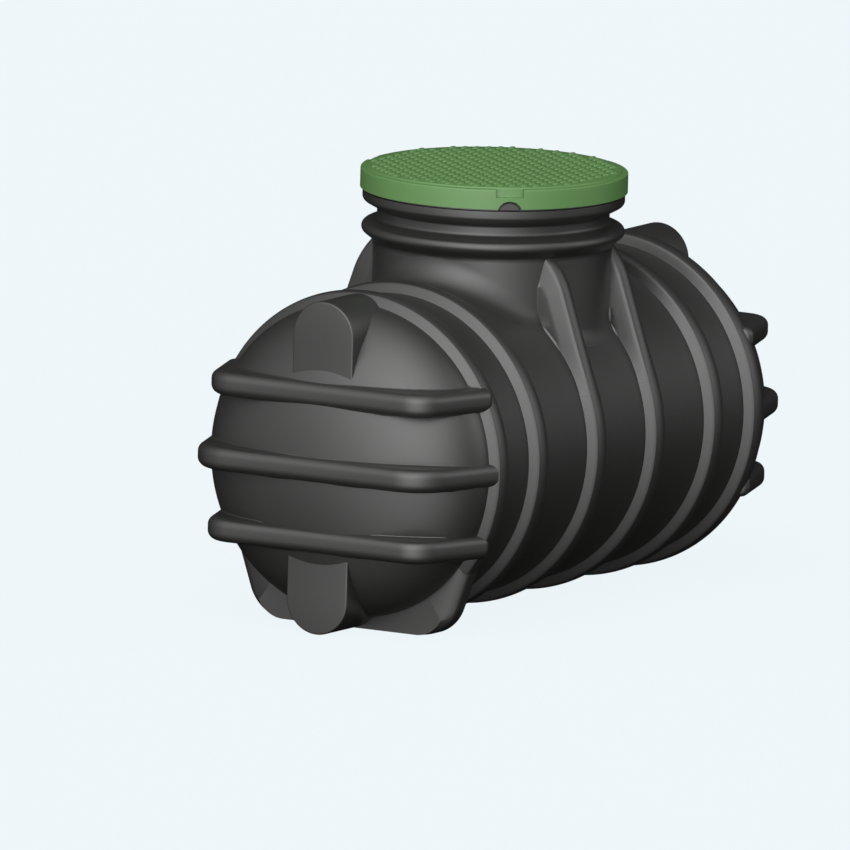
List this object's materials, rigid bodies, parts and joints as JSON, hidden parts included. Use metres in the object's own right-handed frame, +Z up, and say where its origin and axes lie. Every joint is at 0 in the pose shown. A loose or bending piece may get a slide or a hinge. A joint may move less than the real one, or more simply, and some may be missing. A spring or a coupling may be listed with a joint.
{
  "type": "underground water tank",
  "caption": "Horizontal moulded tank with a ringed barrel, ribbed domed ends, an upright round neck and a lift-off lid.",
  "frame": {"origin": "on the floor, below the middle of the barrel, on the neck's axis", "axes": "+Z up along the neck; +Y along the barrel, away from the end that has the foot; +X to the right seen from that end"},
  "size_m": [0.93, 1.915, 1.19],
  "materials": {
    "tank_plastic": "semi-gloss moulded black polyethylene",
    "lid_plastic": "satin moulded green plastic"
  },
  "bodies": {
    "tank": {"bay_1": "tank_plastic", "bay_2": "tank_plastic", "bay_3": "tank_plastic", "bay_4": "tank_plastic", "bay_5": "tank_plastic", "front_bottom_lug": "tank_plastic", "front_dome": "tank_plastic", "front_foot": "tank_plastic", "front_left_gusset": "tank_plastic", "front_lower_rib": "tank_plastic", "front_middle_rib": "tank_plastic", "front_right_gusset": "tank_plastic", "front_top_lug": "tank_plastic", "front_upper_rib": "tank_plastic", "neck": "tank_plastic", "neck_bead": "tank_plastic", "neck_collar": "tank_plastic", "rear_bottom_lug": "tank_plastic", "rear_dome": "tank_plastic", "rear_left_gusset": "tank_plastic", "rear_lower_rib": "tank_plastic", "rear_middle_rib": "tank_plastic", "rear_right_gusset": "tank_plastic", "rear_top_lug": "tank_plastic", "rear_upper_rib": "tank_plastic", "ring_1": "tank_plastic", "ring_2": "tank_plastic", "ring_3": "tank_plastic", "ring_4": "tank_plastic", "ring_5": "tank_plastic", "ring_6": "tank_plastic"},
    "lid": {"lid": "lid_plastic"}
  },
  "joints": [
    {"name": "lid_lift", "type": "slide", "parent": "tank", "child": "lid", "axis": [0, 0, 1], "range_m": [0, 0.35]}
  ]
}
